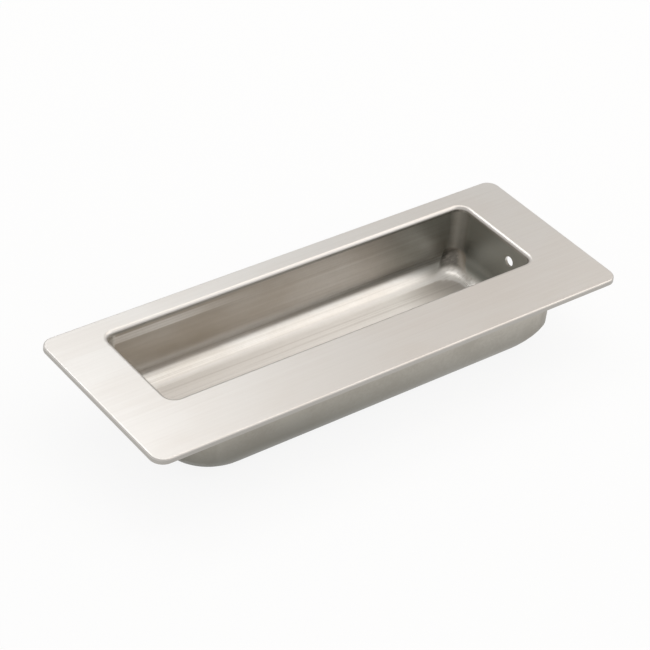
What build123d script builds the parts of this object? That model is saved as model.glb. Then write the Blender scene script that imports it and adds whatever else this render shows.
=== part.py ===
from build123d import *

import math
import os

# Recessed pull handle: a flat stainless face plate with a pressed cup welded behind it.
# The plate's back face lies in z = 0, against the door. X runs along the handle, +Y points
# to the narrow strip of the plate, and the cup hangs below z = 0 in the door's pocket.

# Face plate
plate_length = 125.0
plate_width = 45.0
plate_thickness = 1.2
plate_corner = 3.0  # plan radius of the four corners
plate_edge = 0.4  # rounding of the outer edge, on the front face

# Finger opening through the plate
opening_length = 99.0
opening_width = 25.0
opening_corner = 2.4  # plan radius of the opening's corners
opening_rim = 0.9  # rounding of the opening's edge, on the front face
back_margin = 5.0  # strip of plate between the opening and the back edge

# Pressed cup, inside sizes
cup_sheet = 0.6
cup_depth = 15.1  # from the plate's back face down to the inside of the floor
cup_reach = 9.7  # how far the cup runs forward under the lip, past the opening's front edge
cup_setback = 0.3  # back and end walls stand this far behind the opening's edge
back_corner = 3.6  # plan radius of the two corners at the back, between the walls
back_corner_foot = 5.6  # plan radius of the same corners at the floor
front_corner = 6.4  # plan radius of the two corners under the lip, between the walls
front_corner_foot = 13.0  # plan radius of the same corners at the floor
bottom_radius = 5.2  # from the walls round into the floor
turn_steps = 10  # strips that make up the turn from the walls into the floor

# Screw holes, one through each end wall on the plate's centre line
screw_hole = 2.5
screw_drop = 4.1  # from the plate's back face down to the hole's centre

# The back wall and the end walls follow the opening's edge. The front wall stands well
# forward of it, which leaves room for the fingertips under the plate's lip.
opening_centre = (plate_width - opening_width) / 2 - back_margin
opening_front = opening_centre - opening_width / 2
cup_length = opening_length + 2 * cup_setback
cup_back = opening_front + opening_width + cup_setback
cup_front = opening_front - cup_reach


def oblong(length, width, corner, level):
    """A rounded rectangle centred on the Z axis, at a height."""
    return Plane.XY.offset(level) * RectangleRounded(length, width, corner)


def cup_outline(growth, inset, sink, level):
    """The cup's outline in plan at a height, grown from its inside walls and drawn in.

    The sink is how far round the turn it lies: 0 on the walls and 1 at the floor.
    """
    length = cup_length + 2 * (growth - inset)
    width = cup_back - cup_front + 2 * (growth - inset)
    outline = Rectangle(length, width)
    front = outline.vertices().group_by(Axis.Y)[0]
    front_radius = front_corner + (front_corner_foot - front_corner) * sink
    outline = fillet(front, front_radius + growth)
    back = outline.vertices().group_by(Axis.Y)[-1]
    back_radius = back_corner + (back_corner_foot - back_corner) * sink
    outline = fillet(back, back_radius + growth)
    return Pos(0, (cup_back + cup_front) / 2, level) * outline


def cup_form(growth):
    """A closed block of the cup's inside, grown on every side by the given thickness.

    Straight walls run down to where the bottom turns in. From there the walls curve
    into the floor, and the corners between them open out as they go down.
    """
    radius = bottom_radius + growth
    spring = bottom_radius - cup_depth
    walls = extrude(cup_outline(growth, 0, 0, spring), -spring)
    turn = []
    for step in range(turn_steps + 1):
        lean = math.pi / 2 * step / turn_steps
        inset = radius * (1 - math.cos(lean))
        sink = math.sin(lean)
        turn.append(cup_outline(growth, inset, sink, spring - radius * sink).face())
    return walls + loft(turn, ruled=True)


def build_face_plate():
    """The plate, pierced by the opening, with its front edges rounded."""
    blank = extrude(oblong(plate_length, plate_width, plate_corner, 0), plate_thickness)
    outer_edges = blank.faces().sort_by(Axis.Z)[-1].edges()
    blank = fillet(outer_edges, plate_edge)
    hole = extrude(oblong(opening_length, opening_width, opening_corner, 0), plate_thickness)
    plate = blank - Pos(0, opening_centre, 0) * hole
    rim_edges = plate.faces().sort_by(Axis.Z)[-1].inner_wires()[0].edges()
    return fillet(rim_edges, opening_rim)


def build_pull_cup():
    """The cup: two nested forms, the sheet between them and a screw hole in each end."""
    cup = cup_form(cup_sheet) - cup_form(0)
    drill_length = cup_length + 4 * cup_sheet
    drill = Pos(0, 0, -screw_drop) * Rot(0, 90, 0) * Cylinder(screw_hole / 2, drill_length)
    return cup - drill


os.makedirs("parts", exist_ok=True)
export_step(build_face_plate(), "parts/face_plate.step")
export_step(build_pull_cup(), "parts/pull_cup.step")
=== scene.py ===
import math
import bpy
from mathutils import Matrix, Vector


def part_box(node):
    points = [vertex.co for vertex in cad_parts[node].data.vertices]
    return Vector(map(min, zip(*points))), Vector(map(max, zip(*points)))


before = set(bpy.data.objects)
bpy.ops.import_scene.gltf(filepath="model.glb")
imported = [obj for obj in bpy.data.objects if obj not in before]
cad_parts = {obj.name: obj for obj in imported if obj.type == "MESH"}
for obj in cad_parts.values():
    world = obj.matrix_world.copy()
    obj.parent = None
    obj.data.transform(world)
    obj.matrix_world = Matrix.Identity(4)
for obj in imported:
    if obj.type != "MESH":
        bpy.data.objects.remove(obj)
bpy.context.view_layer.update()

from types import SimpleNamespace

import bpy
from mathutils import Matrix, Vector

bl_info = {
    "name": "Recessed Pull Handle",
    "version": (1, 0, 0),
    "blender": (4, 5, 0),
    "location": "3D View > Sidebar > Pull Handle",
    "description": "Dresses a recessed pull handle in brushed steel and sets it in a pale studio",
    "category": "Object",
}

PLATE_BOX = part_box("face_plate")
CUP_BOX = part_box("pull_cup")
MOUTH = CUP_BOX[1].z  # height of the cup's open mouth, at the plate's back

WHITE = (1.0, 1.0, 1.0)

# Grain, in cells of noise to a metre along x, y and z. Long cells make lengthways lines.
PLATE_FINE = (45.0, 3600.0, 3600.0)
PLATE_STREAK = (16.0, 1100.0, 1100.0)
PLATE_CLOUD = (45.0, 95.0, 95.0)
CUP_FINE = (120.0, 2600.0, 2600.0)
CUP_STREAK = (12.0, 800.0, 800.0)
CUP_END_STREAK = (800.0, 12.0, 800.0)
CUP_CLOUD = (55.0, 120.0, 160.0)
CUP_SPECKLE = (1500.0, 1500.0, 1500.0)
CUP_LINES = (9.0, 1900.0, 1900.0)
MILL_CLOUD = (140.0, 140.0, 160.0)
MILL_SPECKLE = (1300.0, 1300.0, 1500.0)
GRAIN_STRENGTH = 0.3

# Finish of the plate: spans over which its marks fade in, and the colour of its brushing
PLATE_EDGE_FACING = (0.1, 0.45)  # upward part of the normal
PLATE_BRUSHING_SPAN = (0.35, 0.7)  # of the grain
PLATE_MOTTLE_SPAN = (0.36, 0.68)  # of the clouds
PLATE_LENGTH_SPAN = (PLATE_BOX[0].x, PLATE_BOX[1].x)
STAIN_AND_SHADE_FADE_SPAN = (0.034, PLATE_BOX[1].x)
STAIN_AND_SHADE_FADE = 0.5  # share of the stain and painted shade that has gone at the right end
STAIN_AND_SHADE_SLANT = 2.4  # how much faster the stain and painted shade deepen towards the front than to the right
STAIN_AND_SHADE_SHARE = 0.72
MOTTLE_SHARE = 0.32
BRUSHING_SHARE = 0.08
BRUSHING_COLOUR = (0.5, 0.48, 0.46)
PLATE_EDGE_ROUGHENING = 0.08

# Spans of the upward part of the normal inside the cup, from its walls down to its floor
WALL_FACING = (0.05, 0.42)
KNUCKLE_FACING = (0.8, 0.9)
FLOOR_FACING = (0.86, 0.975)
FOOT_RISE = (0.90, 0.95)
FOOT_FALL = (0.975, 0.99)
LEVEL_FACING = (0.985, 0.998)

# Spans of the normal's part towards the ends, and of its part towards the back
END_FACING = (0.55, 0.85)
FOOT_END_FACING = (0.1, 0.22)
STRIP_FACING = (-0.6, -0.9)

# Spans of the bend of a corner, which is 0 on a flat wall and 0.5 halfway round
CORNER_BEND = (0.04, 0.22)
KNUCKLE_BEND = (0.01, 0.1)
FLANK_RISE = (0.0, 0.04)
FLANK_FALL = (0.12, 0.3)

# Spans of a corner's lean, from -1 on an end wall to 1 on a long wall
CHEEK_LEAN = (-0.45, -0.1)
FLANK_LEAN = (-0.2, 0.2)

# Spans along the cup, in metres from its middle
BRIGHT_RISE = (-0.022, 0.018)
BRIGHT_FALL = (0.026, 0.036)
COOL_SPAN = (0.022, 0.036)
SHADED_SPAN = (0.026, 0.040)
NEAR_END_SPAN = (0.036, 0.046)
STRIP_SPAN = (-0.008, -0.034)

# Spans of height inside the cup
HIGH_RISE = (MOUTH - 0.0105, MOUTH - 0.0045)
STRIP_RISE = (MOUTH - 0.0030, MOUTH - 0.0026)
STRIP_FALL = (MOUTH - 0.0010, MOUTH - 0.0006)

# Spans of the cup's grain, from 0 to 1
DRAWN_SPAN = (0.38, 0.66)
RUBBED_SPAN = (0.40, 0.62)
RULED_SPAN = (0.53, 0.62)
MILL_SPAN = (0.34, 0.66)

# Tints laid over the steel inside the cup, and the largest share of some of them: painted shade,
# painted light and painted reflection, apart from the rubbed and ruled grain
WALL_SHADE_TINT = (0.30, 0.245, 0.175)
COOL_REFLECTION_TINT = (0.66, 0.68, 0.635)
FLOOR_LIGHT_TINT = (0.99, 0.972, 0.95)
END_SHADE_TINT = (0.25, 0.266, 0.247)
CORNER_SHADE_TINT = (0.28, 0.265, 0.235)
FLANK_LIGHT_TINT = (0.74, 0.73, 0.69)
KNUCKLE_SHADE_TINT = (0.36, 0.31, 0.25)
CHEEK_SHADE_TINT = (0.10, 0.098, 0.09)
SHADED_TINT = (0.45, 0.40, 0.34)
FOOT_HIGHLIGHT_TINT = (1.0, 0.98, 0.95)
RUBBED_TINT = (0.44, 0.405, 0.365)
RULED_TINT = (0.42, 0.38, 0.33)
COOL_SHARE = 0.6
FLANK_SHARE = 0.55
NEAR_END_SHARE = 0.45
KNUCKLE_SHARE = 0.72
CHEEK_SHARE = 0.72
SHADED_SHARE = 0.5
RUBBED_SHARE = 0.24
RULED_SHARE = 0.26

# How much painted light lifts the painted shade on the long walls
BRIGHT_SHARE = 0.42  # right of their middle
BRIGHT_LOSS = 0.14  # how much of that goes again near the right end
HIGH_SHARE = 0.12  # near the mouth
HIGH_END_SHARE = 0.22  # near the mouth, on the end walls

# Changes of roughness inside the cup
FLOOR_ROUGHENING = 0.24
WALL_ROUGHENING = 0.06
CORNER_ROUGHENING = 0.08
FOOT_POLISH = 0.26

# Tints laid over the cup's outside, and their largest shares: painted light towards the right
# end, and the mottle of the mill finish
OUTER_RIGHT_LIGHT_TINT = (0.72, 0.68, 0.62)
OUTER_RIGHT_SHARE = 0.3
MILL_TINT = (0.25, 0.228, 0.19)
MILL_SHARE = 0.32

# Shading of the cup
MERGE_DISTANCE = 1e-6
CUP_CREASE = math.radians(25)

# Stage, in metres
FLOOR_HALF = 4.0  # half the floor's side
FLOOR_GAP = 0.00005  # from the cup's bottom down to the floor
FLOOR_ROUGHNESS = 0.9
SEEN_BY = ("Is Camera Ray", "Is Glossy Ray", "Is Transmission Ray")  # to these it looks white
SURROUND_COLOUR = (1.0, 0.985, 0.96)
SENSOR_WIDTH = 36.0  # in millimetres
NEAR_CLIP = 0.01
FAR_CLIP = 20.0
AIM_X, AIM_Y = -0.00657, -0.00315  # where the camera looks at the plate's front

# Soft lamps: name, turn and height in degrees, size, brightness of the face and colour
LAMP_DISTANCE = 1.2
SOFTBOXES = (
    ("back_softbox", 160, 50, (0.5, 0.4), 1.65, WHITE),
    ("rim_softbox", 195, 52, (0.35, 0.3), 2.4, WHITE),
    ("right_softbox", 106, 52, (0.6, 0.65), 1.0, (1.0, 0.92, 0.84)),
    ("top_softbox", 130, 76, (0.55, 0.45), 1.1, (1.0, 0.96, 0.92)),
    ("front_softbox", 60, 42, (0.9, 0.7), 0.8, (1.0, 0.975, 0.94)),
)


class Wire:
    """A node's output, so that shader maths can be written as Python expressions."""

    def __init__(self, sheet, socket):
        self.sheet = sheet
        self.socket = socket

    def __add__(self, other):
        return self.sheet.math("ADD", self, other)

    def __radd__(self, other):
        return self.sheet.math("ADD", other, self)

    def __sub__(self, other):
        return self.sheet.math("SUBTRACT", self, other)

    def __rsub__(self, other):
        return self.sheet.math("SUBTRACT", other, self)

    def __mul__(self, other):
        return self.sheet.math("MULTIPLY", self, other)

    def __rmul__(self, other):
        return self.sheet.math("MULTIPLY", other, self)

    def __abs__(self):
        return self.sheet.math("ABSOLUTE", self)


def rgba(colour):
    """A colour as a node's input takes it, with full alpha. A wire stays as it is."""
    return colour if isinstance(colour, Wire) else (*colour, 1.0)


class Sheet:
    """The node tree of a material, of the world or of a modifier."""

    def __init__(self, tree):
        self.tree = tree
        tree.nodes.clear()

    def node(self, kind, settings=None, values=None, out=0):
        """Adds a node: its settings first, then the values or links of its inputs."""
        made = self.tree.nodes.new(kind)
        for name, setting in (settings or {}).items():
            setattr(made, name, setting)
        for name, value in (values or {}).items():
            socket = made.inputs[name]
            if isinstance(value, Wire):
                self.tree.links.new(value.socket, socket)
            else:
                socket.default_value = value
        return Wire(self, made.outputs[out]) if made.outputs else None

    def outputs(self, kind, names, values=None):
        """Adds one node and gives several of its outputs."""
        made = self.node(kind, values=values).socket.node
        return [Wire(self, made.outputs[name]) for name in names]

    def math(self, operation, *values):
        """Maths on single numbers."""
        return self.node("ShaderNodeMath", {"operation": operation}, dict(enumerate(values)))

    def vector_math(self, operation, first, second, out=0):
        """Maths on two vectors."""
        settings = {"operation": operation}
        return self.node("ShaderNodeVectorMath", settings, {0: first, 1: second}, out)

    def parts(self, vector):
        """The x, y and z parts of a vector."""
        return self.outputs("ShaderNodeSeparateXYZ", range(3), {0: vector})

    def noise(self, point, cells, detail=2.0):
        """Soft noise from 0 to 1, with so many cells to a metre along x, y and z."""
        scaled = self.vector_math("MULTIPLY", point, cells)
        values = {"Vector": scaled, "Scale": 1.0, "Detail": detail}
        return self.node("ShaderNodeTexNoise", values=values)

    def ramp(self, value, span, start=0.0, end=1.0):
        """Runs smoothly from start to end over the span and stays level outside it."""
        settings = {"interpolation_type": "SMOOTHSTEP"}
        values = {"Value": value, 1: span[0], 2: span[1], 3: start, 4: end}
        return self.node("ShaderNodeMapRange", settings, values)

    def band(self, value, rise, fall):
        """Runs smoothly from 0 to 1 over one span and back to 0 over a later one."""
        return self.ramp(value, rise) * (1 - self.ramp(value, fall))

    def tint(self, share, first, second):
        """The first colour with the given share of the second laid over it."""
        values = {0: share, 6: rgba(first), 7: rgba(second)}
        return self.node("ShaderNodeMix", {"data_type": "RGBA"}, values, out=2)

    def blend(self, share, first, second):
        """The first shader with the given share of the second."""
        return self.node("ShaderNodeMixShader", values={"Fac": share, 1: first, 2: second})


def new_material(name):
    """A new material, and the sheet to write it on."""
    material = bpy.data.materials.new(name)
    material.use_nodes = True
    return material, Sheet(material.node_tree)


def steel_face(sheet, colour, roughness, grain, depth):
    """Ends a steel material: its colour, its roughness and the relief of its grain."""
    relief = {"Strength": GRAIN_STRENGTH, "Distance": depth, "Height": grain}
    bump = sheet.node("ShaderNodeBump", values=relief)
    values = {"Base Color": colour, "Metallic": 1.0, "Roughness": roughness, "Normal": bump}
    face = sheet.node("ShaderNodeBsdfPrincipled", values=values)
    sheet.node("ShaderNodeOutputMaterial", values={"Surface": face})


def plate_steel(look):
    """Satin stainless steel brushed lengthways, with a duller cut edge round the plate."""
    material, sheet = new_material("plate_steel")
    point, normal = sheet.outputs("ShaderNodeTexCoord", ("Object", "Normal"))
    x, y, _ = sheet.parts(point)
    up = sheet.parts(normal)[2]
    edge = 1 - sheet.ramp(abs(up), PLATE_EDGE_FACING)
    fine = sheet.noise(point, PLATE_FINE, detail=3.0)
    streak = sheet.noise(point, PLATE_STREAK, detail=3.0)
    cloud = sheet.noise(point, PLATE_CLOUD, detail=3.0)
    grain = fine * 0.6 + streak * 0.4

    # The stain, partly painted shade, deepens towards the front right corner and thins out again
    # near the right end
    stain_and_shade_gradient = sheet.ramp(x - y * STAIN_AND_SHADE_SLANT, PLATE_LENGTH_SPAN)
    stain_and_shade_gradient = stain_and_shade_gradient * (1 - sheet.ramp(x, STAIN_AND_SHADE_FADE_SPAN, end=STAIN_AND_SHADE_FADE))
    mottled = sheet.ramp(cloud + (streak - 0.5) * 0.4, PLATE_MOTTLE_SPAN)
    stained_and_shaded = (stain_and_shade_gradient * STAIN_AND_SHADE_SHARE + mottled * MOTTLE_SHARE) * look.staining_and_shade
    satin = sheet.tint(stained_and_shaded, look.colour, look.stain_colour)
    brushing = sheet.ramp(grain, PLATE_BRUSHING_SPAN, end=BRUSHING_SHARE)
    brushed = sheet.tint(brushing, satin, BRUSHING_COLOUR)
    colour = sheet.tint(edge, brushed, look.edge_colour)
    roughness = look.roughness + (grain - 0.5) * 0.07 + (cloud - 0.5) * 0.04
    roughness = roughness + edge * PLATE_EDGE_ROUGHENING
    steel_face(sheet, colour, roughness, grain, look.grain_depth)
    return material


def cup_marks(sheet, point, normal):
    """Where each painted light, painted shade and painted reflection inside the cup shows, and
    where its facings change the roughness, as shares from 0 to 1.
    """
    x, _, z = sheet.parts(point)
    endward, backward, up = sheet.parts(normal)
    bend = abs(endward * backward)
    lean = abs(backward) - abs(endward)
    wall = 1 - sheet.ramp(abs(up), WALL_FACING)
    end = sheet.ramp(abs(endward), END_FACING)
    high = sheet.ramp(z, HIGH_RISE)

    # Painted light makes the long walls brightest right of their middle and near the mouth. A
    # painted reflection, a bright strip, runs along the top of the back wall at its left.
    bright = sheet.ramp(x, BRIGHT_RISE) * BRIGHT_SHARE - sheet.ramp(x, BRIGHT_FALL) * BRIGHT_LOSS
    bright = bright + high * HIGH_SHARE
    strip = sheet.band(z, STRIP_RISE, STRIP_FALL)
    strip = strip * sheet.ramp(backward, STRIP_FACING) * sheet.ramp(x, STRIP_SPAN)

    # Painted shade darkens a corner's knuckle where it turns into the floor, darkest in the cheek
    # on the long wall's side. On that side a painted highlight, a pale flank, runs up the corner,
    # and painted light makes the long walls paler near the right end too.
    knuckle = sheet.ramp(bend, KNUCKLE_BEND) * (1 - wall)
    knuckle = knuckle * (1 - sheet.ramp(up, KNUCKLE_FACING))
    flank = sheet.band(bend, FLANK_RISE, FLANK_FALL) * sheet.ramp(lean, FLANK_LEAN)
    near_end = sheet.ramp(x, NEAR_END_SPAN) * (1 - end)
    pale = flank * FLANK_SHARE + near_end * (1 - flank) * NEAR_END_SHARE

    # A painted highlight, a bright arc, lies at the foot of each end wall, and painted shade
    # darkens the level floor towards the right end
    foot = sheet.band(up, FOOT_RISE, FOOT_FALL) * sheet.ramp(abs(endward), FOOT_END_FACING)
    shaded = sheet.ramp(x, SHADED_SPAN) * sheet.ramp(up, LEVEL_FACING)
    return SimpleNamespace(
        wall=wall,
        end=end,
        high=high,
        bright=bright,
        strip=strip,
        floor=sheet.ramp(up, FLOOR_FACING),
        foot=foot,
        corner=sheet.ramp(bend, CORNER_BEND),
        knuckle=knuckle,
        cheek=knuckle * sheet.ramp(lean, CHEEK_LEAN),
        pale=pale * wall,
        # Painted reflection that greys the walls towards the right end
        cool_reflection=sheet.ramp(x, COOL_SPAN) * wall,
        shaded=shaded,
    )


def cup_grain(sheet, point, end):
    """The grain of the drawn steel, which runs along each wall, as shares from 0 to 1."""
    long_streak = sheet.noise(point, CUP_STREAK, detail=3.0)
    end_streak = sheet.noise(point, CUP_END_STREAK, detail=3.0)
    streak = long_streak + (end_streak - long_streak) * end
    fine = sheet.noise(point, CUP_FINE, detail=4.0)
    lines = sheet.noise(point, CUP_LINES)
    speckle = sheet.noise(point, CUP_SPECKLE)
    return SimpleNamespace(
        streak=streak,
        cloud=sheet.noise(point, CUP_CLOUD, detail=4.0),
        lines=lines,
        speckle=speckle,
        mixed=streak * 0.35 + fine * 0.2 + lines * 0.3 + speckle * 0.15,
    )


def inner_colour(sheet, look, marks, grain):
    """Colour inside the cup.

    The tints are fixed by place and facing. The drawn clouds and the grain are the steel's own
    stain, and the other tints are painted shade, painted light and painted reflection: dull walls
    and corners round a bright floor.
    """
    wall, floor = marks.wall, marks.floor
    drawn = sheet.ramp(grain.cloud * 0.65 + grain.streak * 0.35, DRAWN_SPAN)
    painted_wall_shade = wall * (1 - marks.strip) * (1 - marks.bright) * (0.7 + grain.cloud * 0.6)

    # The grain shows less on the floor, and its ruled lines less on the walls too
    rubbed = sheet.ramp(grain.mixed, RUBBED_SPAN) * (RUBBED_SHARE - floor * 0.14)
    ruled = sheet.ramp(grain.lines, RULED_SPAN) * (1 - marks.end)
    ruled = ruled * (RULED_SHARE - floor * 0.15 - wall * 0.18)

    colour = sheet.tint(drawn, look.colour, look.stain_colour)
    # Painted shade darkens the walls, end walls, corners, knuckles, cheeks and the level floor
    # near the right end; painted reflection greys the walls there; painted light brightens the
    # floor, the flanks and the foot arcs. The rubbed and ruled tints are the grain.
    for share, tint in (
        (painted_wall_shade * look.wall_shade, WALL_SHADE_TINT),
        (marks.cool_reflection * COOL_SHARE, COOL_REFLECTION_TINT),
        (floor, FLOOR_LIGHT_TINT),
        (marks.end * (1 - marks.high * HIGH_END_SHARE) * look.end_wall_shade, END_SHADE_TINT),
        (marks.corner * look.corner_shade, CORNER_SHADE_TINT),
        (marks.pale, FLANK_LIGHT_TINT),
        (marks.knuckle * KNUCKLE_SHARE, KNUCKLE_SHADE_TINT),
        (marks.cheek * CHEEK_SHARE, CHEEK_SHADE_TINT),
        (marks.shaded * SHADED_SHARE, SHADED_TINT),
        (marks.foot, FOOT_HIGHLIGHT_TINT),
        (rubbed * (1 - marks.foot), RUBBED_TINT),
        (ruled, RULED_TINT),
    ):
        colour = sheet.tint(share, colour, tint)
    return colour


def outer_colour(sheet, look, point):
    """Colour of the cup's outside, a dull mill finish, with painted shade that darkens it towards
    the bottom and painted light towards the right end.
    """
    x, _, z = sheet.parts(point)
    # Painted shade: the outside darkens from its top colour down to the bottom. Painted light
    # lightens it towards the right end.
    rise = sheet.ramp(z, (CUP_BOX[0].z, MOUTH))
    rightward = sheet.ramp(x, (CUP_BOX[0].x, CUP_BOX[1].x), end=OUTER_RIGHT_SHARE)
    mill = sheet.noise(point, MILL_CLOUD, detail=3.0) * 0.6
    mill = mill + sheet.noise(point, MILL_SPECKLE, detail=3.0) * 0.4
    colour = sheet.tint(rise, look.outer_colour, look.outer_top_colour)
    colour = sheet.tint(rightward, colour, OUTER_RIGHT_LIGHT_TINT)
    return sheet.tint(sheet.ramp(mill, MILL_SPAN, end=MILL_SHARE), colour, MILL_TINT)


def cup_steel(look):
    """Pressed stainless steel: drawn and warm inside with painted light, shade and reflection,
    left dull and grey outside with painted shade towards the bottom.
    """
    material, sheet = new_material("cup_steel")
    point, normal = sheet.outputs("ShaderNodeTexCoord", ("Object", "Normal"))
    outward = sheet.vector_math("SUBTRACT", point, (CUP_BOX[0] + CUP_BOX[1]) / 2)
    facing = sheet.vector_math("DOT_PRODUCT", outward, normal, out="Value")
    outside = sheet.math("GREATER_THAN", facing, 0.0)
    marks = cup_marks(sheet, point, normal)
    grain = cup_grain(sheet, point, marks.end)
    inner = inner_colour(sheet, look, marks, grain)
    outer = outer_colour(sheet, look, point)
    colour = sheet.tint(outside, inner, outer)
    roughness = look.roughness + outside * (look.outer_roughness - look.roughness)
    roughness = roughness + marks.floor * FLOOR_ROUGHENING + marks.wall * WALL_ROUGHENING
    roughness = roughness + marks.corner * CORNER_ROUGHENING - marks.foot * FOOT_POLISH
    roughness = roughness + (grain.streak - 0.5) * 0.08 + (grain.speckle - 0.5) * 0.04
    steel_face(sheet, colour, roughness, grain.streak, look.grain_depth)
    return material


def colour_property(name, description, default):
    """A colour that can be set in the sidebar."""
    return bpy.props.FloatVectorProperty(
        name=name,
        description=description,
        subtype="COLOR",
        size=3,
        min=0.0,
        max=1.0,
        default=default,
    )


def share_property(name, description, default):
    """A share from 0 to 1 that can be set in the sidebar."""
    return bpy.props.FloatProperty(
        name=name,
        description=description,
        subtype="FACTOR",
        min=0.0,
        max=1.0,
        default=default,
    )


def length_property(name, description, default):
    """A length that can be set in the sidebar."""
    return bpy.props.FloatProperty(
        name=name,
        description=description,
        subtype="DISTANCE",
        min=0.0,
        default=default,
    )


def angle_property(name, description, degrees):
    """An angle that can be set in the sidebar."""
    return bpy.props.FloatProperty(
        name=name,
        description=description,
        subtype="ANGLE",
        default=math.radians(degrees),
    )


class PlateLook(bpy.types.PropertyGroup):
    """Finish of the face plate."""

    colour: colour_property("Steel colour", "Colour of the plate's steel", (0.745, 0.73, 0.71))
    stain_colour: colour_property(
        "Stain colour", "Colour of the faint stain in the brushed steel", (0.675, 0.634, 0.595)
    )
    # Staining also sets the painted shade that darkens the plate towards its front right corner
    staining_and_shade: share_property("Staining", "How strongly the faint stain shows", 0.9)
    edge_colour: colour_property(
        "Edge colour", "Colour of the cut edge round the plate", (0.46, 0.44, 0.41)
    )
    roughness: share_property(
        "Roughness", "How widely the satin finish spreads a reflection", 0.34
    )
    grain_depth: length_property("Grain depth", "Depth of the brushed grain", 0.00001)


class CupLook(bpy.types.PropertyGroup):
    """Finish of the pressed cup, with its painted light and painted shade."""

    colour: colour_property(
        "Steel colour", "Colour of the steel inside the cup", (0.84, 0.82, 0.79)
    )
    stain_colour: colour_property(
        "Stain colour", "Colour of the warm clouds inside the cup", (0.77, 0.73, 0.68)
    )
    # Painted shade that darkens the walls against the floor and the turn
    wall_shade: share_property(
        "Wall dullness", "How far the walls are duller than the floor and the turn", 0.66
    )
    # Painted shade that darkens and greys the end walls
    end_wall_shade: share_property(
        "End dullness", "How far the end walls are duller and greyer than the back wall", 0.84
    )
    # Painted shade that darkens the drawn corners
    corner_shade: share_property(
        "Corner dullness", "How far the drawn corners are duller than the walls beside them", 0.6
    )
    roughness: share_property("Roughness", "How widely the inside spreads a reflection", 0.33)
    # Painted shade: the outside runs from the top colour down to this one at the bottom
    outer_colour: colour_property(
        "Outer colour", "Colour of the dull outside round the bottom", (0.15, 0.153, 0.137)
    )
    outer_top_colour: colour_property(
        "Outer top colour", "Colour of the dull outside next to the plate", (0.485, 0.455, 0.40)
    )
    outer_roughness: share_property(
        "Outer roughness", "How widely the outside spreads a reflection", 0.42
    )
    grain_depth: length_property("Grain depth", "Depth of the drawn grain", 0.00001)


class StudioLook(bpy.types.PropertyGroup):
    """The floor, the light from all round and the camera."""

    floor_colour: colour_property("Floor colour", "Colour of the floor", (0.95, 0.95, 0.95))
    floor_glow: share_property(
        "Floor glow", "How far the floor is seen as white, apart from its light and shadow", 0.88
    )
    surround: bpy.props.FloatProperty(
        name="Surround",
        description="Strength of the even light from all round",
        min=0.0,
        default=0.66,
    )
    lens: bpy.props.FloatProperty(
        name="Lens",
        description="Focal length of the camera, in millimetres",
        min=1.0,
        default=124.5,
    )
    camera_distance: length_property(
        "Camera distance", "Distance from the camera to the middle of the view", 0.4818
    )
    camera_turn: angle_property("Camera turn", "Angle of the camera round the handle", -41.42)
    camera_height: angle_property("Camera height", "Angle of the camera above the floor", 37.0)
    camera_roll: angle_property(
        "Camera roll", "Tilt of the camera about its own line of sight", 6.99
    )


def dress(node, material):
    """Gives a CAD node its material, and returns the node."""
    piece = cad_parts[node]
    piece.data.materials.clear()
    piece.data.materials.append(material)
    return piece


def smooth_turns(piece, crease):
    """Shades the piece smooth over every edge that bends less than the crease angle."""
    tree = bpy.data.node_groups.new("smooth_turns", "GeometryNodeTree")
    tree.interface.new_socket("Geometry", in_out="INPUT", socket_type="NodeSocketGeometry")
    tree.interface.new_socket("Geometry", in_out="OUTPUT", socket_type="NodeSocketGeometry")
    sheet = Sheet(tree)
    given = sheet.node("NodeGroupInput")
    values = {"Geometry": given, "Distance": MERGE_DISTANCE}
    joined = sheet.node("GeometryNodeMergeByDistance", values=values)
    angle = sheet.node("GeometryNodeInputMeshEdgeAngle")
    values = {
        "Mesh": joined,
        "Remove Custom": True,
        "Edge Sharpness": sheet.math("GREATER_THAN", angle, crease),
        "Face Sharpness": False,
    }
    shaped = sheet.node("GeometryNodeSetMeshNormal", {"mode": "SHARPNESS"}, values)
    sheet.node("NodeGroupOutput", values={0: shaped})
    piece.modifiers.new("smooth_turns", "NODES").node_group = tree
    flats = piece.modifiers.new("flat_faces", "WEIGHTED_NORMAL")
    flats.keep_sharp = True


class HANDLE_OT_face_plate(bpy.types.Operator):
    """Finishes the face plate in brushed steel"""

    bl_idname = "handle.face_plate"
    bl_label = "Face Plate"

    def execute(self, context):
        dress("face_plate", plate_steel(context.scene.plate_look))
        return {"FINISHED"}


class HANDLE_OT_pull_cup(bpy.types.Operator):
    """Finishes the pressed cup in drawn steel"""

    bl_idname = "handle.pull_cup"
    bl_label = "Pull Cup"

    def execute(self, context):
        cup = dress("pull_cup", cup_steel(context.scene.cup_look))
        smooth_turns(cup, CUP_CREASE)
        return {"FINISHED"}


def direction(turn, height):
    """Unit vector towards a place round the handle: turn 0 is in front of it."""
    level = math.cos(height)
    return Vector((math.sin(turn) * level, -math.cos(turn) * level, math.sin(height)))


def floor_finish(colour, glow):
    """A matt pale finish that the camera and the metal see close to white.

    It shows from above only, so that the underside of the handle can be looked at too.
    """
    material, sheet = new_material("studio_floor")
    values = {
        "Base Color": rgba(colour),
        "Roughness": FLOOR_ROUGHNESS,
        "Specular IOR Level": 0.0,
    }
    matt = sheet.node("ShaderNodeBsdfPrincipled", values=values)
    white = sheet.node("ShaderNodeEmission", values={"Color": rgba(WHITE), "Strength": 1.0})
    direct, mirrored, through = sheet.outputs("ShaderNodeLightPath", SEEN_BY)
    seen = sheet.math("MAXIMUM", sheet.math("MAXIMUM", direct, mirrored), through)
    pale = sheet.blend(seen * glow, matt, white)
    below = sheet.node("ShaderNodeNewGeometry", out="Backfacing")
    clear = sheet.node("ShaderNodeBsdfTransparent")
    face = sheet.blend(below, pale, clear)
    sheet.node("ShaderNodeOutputMaterial", values={"Surface": face})
    return material


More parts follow.
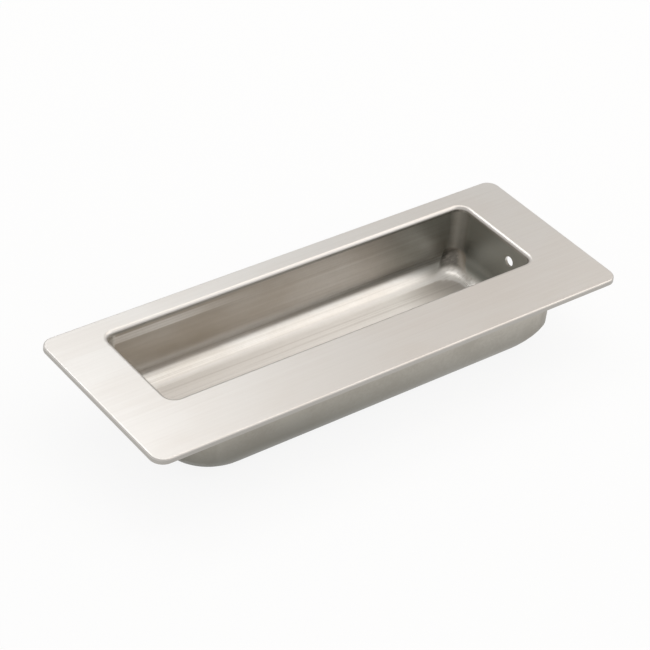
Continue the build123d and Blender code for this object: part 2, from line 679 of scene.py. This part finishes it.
def lay_floor(colour, glow):
    """A wide pale floor just under the cup."""
    level = CUP_BOX[0].z - FLOOR_GAP
    sides = ((-1, -1), (1, -1), (1, 1), (-1, 1))
    corners = [(x * FLOOR_HALF, y * FLOOR_HALF, level) for x, y in sides]
    mesh = bpy.data.meshes.new("floor")
    mesh.from_pydata(corners, [], [(0, 1, 2, 3)])
    mesh.materials.append(floor_finish(colour, glow))
    floor = bpy.data.objects.new("floor", mesh)
    bpy.context.scene.collection.objects.link(floor)


def hang_softbox(name, turn, height, size, brightness, colour):
    """A rectangular soft lamp that faces the handle from the given place round it."""
    light = bpy.data.lights.new(name, "AREA")
    light.shape = "RECTANGLE"
    light.size, light.size_y = size
    light.energy = brightness * math.pi * math.prod(size)
    light.color = colour
    lamp = bpy.data.objects.new(name, light)
    away = direction(math.radians(turn), math.radians(height))
    lamp.location = away * LAMP_DISTANCE
    lamp.rotation_mode = "QUATERNION"
    lamp.rotation_quaternion = away.to_track_quat("Z", "Y")
    bpy.context.scene.collection.objects.link(lamp)


def light_surround(strength):
    """Even pale light from all round."""
    world = bpy.data.worlds.new("surround")
    world.use_nodes = True
    bpy.context.scene.world = world
    sheet = Sheet(world.node_tree)
    values = {"Color": rgba(SURROUND_COLOUR), "Strength": strength}
    glow = sheet.node("ShaderNodeBackground", values=values)
    sheet.node("ShaderNodeOutputWorld", values={"Surface": glow})


def set_camera(look):
    """The camera, turned, raised and rolled about a point in the opening's left half."""
    data = bpy.data.cameras.new("camera")
    data.lens = look.lens
    data.sensor_width = SENSOR_WIDTH
    data.clip_start = NEAR_CLIP
    data.clip_end = FAR_CLIP
    camera = bpy.data.objects.new("camera", data)
    back = direction(look.camera_turn, look.camera_height)
    right = Vector((math.cos(look.camera_turn), math.sin(look.camera_turn), 0.0))
    up = back.cross(right)
    cosine, sine = math.cos(look.camera_roll), math.sin(look.camera_roll)
    rolled_right = right * cosine + up * sine
    rolled_up = up * cosine - right * sine
    aim = Vector((AIM_X, AIM_Y, PLATE_BOX[1].z))
    turned = Matrix((rolled_right, rolled_up, back)).transposed().to_4x4()
    camera.matrix_world = Matrix.Translation(aim + back * look.camera_distance) @ turned
    bpy.context.scene.collection.objects.link(camera)
    bpy.context.scene.camera = camera


class HANDLE_OT_stage(bpy.types.Operator):
    """Lays the floor, hangs the lights and sets the camera"""

    bl_idname = "handle.stage"
    bl_label = "Stage"

    def execute(self, context):
        look = context.scene.studio_look
        lay_floor(look.floor_colour, look.floor_glow)
        light_surround(look.surround)
        for lamp in SOFTBOXES:
            hang_softbox(*lamp)
        context.scene.view_settings.view_transform = "Standard"
        set_camera(look)
        return {"FINISHED"}


class HANDLE_PT_panel(bpy.types.Panel):
    """Lists the handle's pieces and the stage"""

    bl_idname = "HANDLE_PT_panel"
    bl_label = "Recessed Pull Handle"
    bl_space_type = "VIEW_3D"
    bl_region_type = "UI"
    bl_category = "Pull Handle"

    def draw(self, context):
        layout = self.layout
        scene = context.scene
        for operator, look in (
            ("handle.face_plate", scene.plate_look),
            ("handle.pull_cup", scene.cup_look),
            ("handle.stage", scene.studio_look),
        ):
            box = layout.box()
            box.operator(operator)
            for name in look.bl_rna.properties.keys():
                if name not in {"rna_type", "name"}:
                    box.prop(look, name)


CLASSES = (
    PlateLook,
    CupLook,
    StudioLook,
    HANDLE_OT_face_plate,
    HANDLE_OT_pull_cup,
    HANDLE_OT_stage,
    HANDLE_PT_panel,
)


def register():
    for item in CLASSES:
        bpy.utils.register_class(item)
    bpy.types.Scene.plate_look = bpy.props.PointerProperty(type=PlateLook)
    bpy.types.Scene.cup_look = bpy.props.PointerProperty(type=CupLook)
    bpy.types.Scene.studio_look = bpy.props.PointerProperty(type=StudioLook)


def unregister():
    del bpy.types.Scene.studio_look
    del bpy.types.Scene.cup_look
    del bpy.types.Scene.plate_look
    for item in reversed(CLASSES):
        bpy.utils.unregister_class(item)


def main():
    register()
    bpy.ops.handle.face_plate()
    bpy.ops.handle.pull_cup()
    bpy.ops.handle.stage()


if __name__ == "__main__":
    main()
